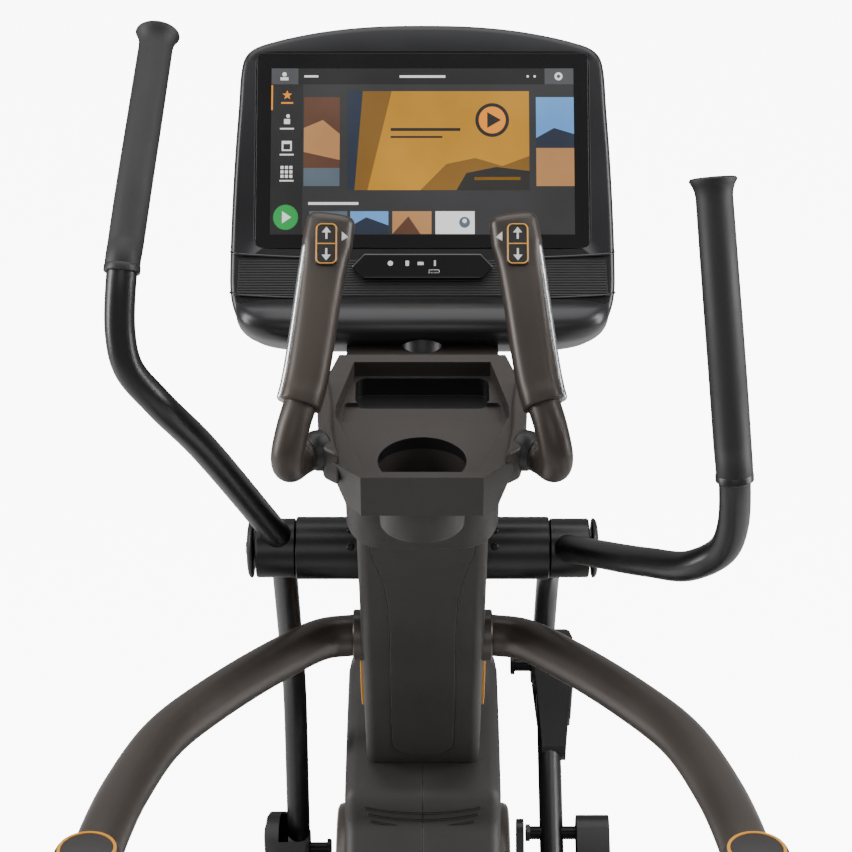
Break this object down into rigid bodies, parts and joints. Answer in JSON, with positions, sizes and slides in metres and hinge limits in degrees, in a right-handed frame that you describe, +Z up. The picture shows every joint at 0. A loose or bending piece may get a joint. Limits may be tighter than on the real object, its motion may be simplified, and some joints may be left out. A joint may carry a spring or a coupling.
{
  "type": "elliptical trainer",
  "caption": "Suspended-pedal elliptical trainer: touch-screen console and tray on a leaning column, swinging handlebars, hung pedals, side rails and rear posts.",
  "frame": {"origin": "middle of the footprint, on the floor", "axes": "+Z up, +Y away from the user towards the drive housing's front, +X to the user's right"},
  "size_m": [0.7446, 1.6804, 1.7367],
  "materials": {
    "satin_black_steel": "satin black powder coat",
    "bronze_steel": "bronze-grey satin powder coat",
    "dark_shell": "fine moulded texture, dark warm grey",
    "tray_shell": "satin bronze-grey moulding",
    "console_shell": "satin black moulding",
    "grip_shell": "satin dark bronze moulding",
    "black_plastic": "fine moulded texture, black",
    "soft_grip": "soft matte foam rubber",
    "pedal_rubber": "ribbed tread",
    "bare_steel": "brushed",
    "cast_iron": "machined rim",
    "screen_glass": "polished cover glass over a lit panel",
    "gloss_black": "polished black",
    "circuit_board": "solder mask",
    "belt_rubber": "ribbed belt"
  },
  "bodies": {
    "root": {"base_frame": "satin_black_steel", "mast": "satin_black_steel", "column_cover_rear": "dark_shell", "column_cover_front": "dark_shell", "drive_housing_left": "dark_shell", "drive_housing_right": "dark_shell", "left_side_cover": "dark_shell", "right_side_cover": "dark_shell", "left_rail": "bronze_steel", "right_rail": "bronze_steel", "left_rear_post": "bronze_steel", "right_rear_post": "bronze_steel", "left_post_cap": "dark_shell", "right_post_cap": "dark_shell", "accessory_tray": "tray_shell", "console_neck": "black_plastic", "console_housing": "console_shell", "console_back_cover": "console_shell", "display_screen": "screen_glass", "control_board": "circuit_board", "port_pod": "gloss_black", "left_pulse_grip": "grip_shell", "right_pulse_grip": "grip_shell", "left_pulse_sensor": "bare_steel", "right_pulse_sensor": "bare_steel", "left_crank_bearing": "bare_steel", "right_crank_bearing": "bare_steel", "drive_belt": "belt_rubber"},
    "left_arm": {"left_handlebar": "satin_black_steel", "left_handle_grip": "soft_grip", "left_lower_link": "satin_black_steel", "left_hub_cap": "black_plastic", "left_link_pin": "bare_steel"},
    "left_pedal_arm": {"left_pedal_link": "satin_black_steel", "left_pedal": "pedal_rubber", "left_link_cover": "black_plastic", "left_pedal_arm_cover": "black_plastic"},
    "left_swing": {"left_swing_link": "satin_black_steel"},
    "left_coupler": {"left_coupler": "satin_black_steel"},
    "left_rocker": {"left_speed_rocker": "black_plastic"},
    "left_wheel": {"left_transport_wheel": "soft_grip"},
    "right_arm": {"right_handlebar": "satin_black_steel", "right_handle_grip": "soft_grip", "right_lower_link": "satin_black_steel", "right_hub_cap": "black_plastic", "right_link_pin": "bare_steel"},
    "right_pedal_arm": {"right_pedal_link": "satin_black_steel", "right_pedal": "pedal_rubber", "right_link_cover": "black_plastic", "right_pedal_arm_cover": "black_plastic"},
    "right_swing": {"right_swing_link": "satin_black_steel"},
    "right_coupler": {"right_coupler": "satin_black_steel"},
    "right_rocker": {"right_speed_rocker": "black_plastic"},
    "right_wheel": {"right_transport_wheel": "soft_grip"},
    "crank": {"crank_axle": "bare_steel", "left_crank_arm": "satin_black_steel", "right_crank_arm": "satin_black_steel", "drive_pulley": "black_plastic"},
    "flywheel": {"flywheel": "cast_iron"},
    "brake": {"brake_arm": "cast_iron"}
  },
  "joints": [
    {"name": "right_arm_swing", "type": "hinge", "parent": "root", "child": "right_arm", "pos_m": [0.172, 0.07799, 1.105], "axis": [1, 0, 0], "range_deg": [-33.25, 4.75]},
    {"name": "left_arm_swing", "type": "hinge", "parent": "root", "child": "left_arm", "pos_m": [-0.172, 0.07799, 1.105], "axis": [1, 0, 0], "range_deg": [-5.25, 33.75]},
    {"name": "right_pedal_turn", "type": "hinge", "parent": "right_arm", "child": "right_pedal_arm", "pos_m": [0.165, 0.4788, 0.70883], "axis": [1, 0, 0], "range_deg": [-3.64, 22.45]},
    {"name": "left_pedal_turn", "type": "hinge", "parent": "left_arm", "child": "left_pedal_arm", "pos_m": [-0.165, 0.24119, 0.56559], "axis": [1, 0, 0], "range_deg": [-22.45, 3.64]},
    {"name": "right_swing_turn", "type": "hinge", "parent": "root", "child": "right_swing", "pos_m": [0.273, -0.48201, 1.012], "axis": [1, 0, 0], "range_deg": [-26.81, 4.26]},
    {"name": "left_swing_turn", "type": "hinge", "parent": "root", "child": "left_swing", "pos_m": [-0.273, -0.48201, 1.012], "axis": [1, 0, 0], "range_deg": [-4.26, 26.81]},
    {"name": "right_coupler_turn", "type": "hinge", "parent": "right_pedal_arm", "child": "right_coupler", "pos_m": [0.1305, 0.28153, 0.56353], "axis": [1, 0, 0], "range_deg": [-18.79, 3.11]},
    {"name": "left_coupler_turn", "type": "hinge", "parent": "left_pedal_arm", "child": "left_coupler", "pos_m": [-0.1305, 0.02228, 0.45557], "axis": [1, 0, 0], "range_deg": [-3.11, 18.79]},
    {"name": "flywheel_spin", "type": "hinge", "parent": "root", "child": "flywheel", "pos_m": [0, 0.37799, 0.4], "axis": [1, 0, 0], "continuous": true},
    {"name": "crank_spin", "type": "hinge", "parent": "root", "child": "crank", "pos_m": [0, -0.04201, 0.322], "axis": [1, 0, 0], "continuous": true},
    {"name": "brake_arm_turn", "type": "hinge", "parent": "root", "child": "brake", "pos_m": [0, 0.46012, 0.26855], "axis": [1, 0, 0], "range_deg": [-6, 0]},
    {"name": "left_rocker_press", "type": "hinge", "parent": "root", "child": "left_rocker", "pos_m": [-0.097, -0.15181, 1.57405], "axis": [1, 0, 0], "range_deg": [-4, 4], "stiffness_Nm_per_rad": 0.6},
    {"name": "right_rocker_press", "type": "hinge", "parent": "root", "child": "right_rocker", "pos_m": [0.097, -0.15181, 1.57405], "axis": [1, 0, 0], "range_deg": [-4, 4], "stiffness_Nm_per_rad": 0.6},
    {"name": "left_wheel_spin", "type": "hinge", "parent": "root", "child": "left_wheel", "pos_m": [-0.216, 0.81099, 0.047], "axis": [1, 0, 0], "continuous": true},
    {"name": "right_wheel_spin", "type": "hinge", "parent": "root", "child": "right_wheel", "pos_m": [0.216, 0.81099, 0.047], "axis": [1, 0, 0], "continuous": true}
  ],
  "couplings": [
    {"joint": "left_arm_swing", "follows": "right_arm_swing", "ratio": -1},
    {"joint": "right_pedal_turn", "follows": "right_arm_swing", "ratio": -0.66},
    {"joint": "left_pedal_turn", "follows": "right_arm_swing", "ratio": 0.66},
    {"joint": "right_swing_turn", "follows": "right_arm_swing", "ratio": 0.7913},
    {"joint": "left_swing_turn", "follows": "right_arm_swing", "ratio": -0.7913},
    {"joint": "right_coupler_turn", "follows": "right_arm_swing", "ratio": 0.5501},
    {"joint": "left_coupler_turn", "follows": "right_arm_swing", "ratio": -0.5501},
    {"joint": "crank_spin", "follows": "flywheel_spin", "ratio": 0.25263}
  ]
}
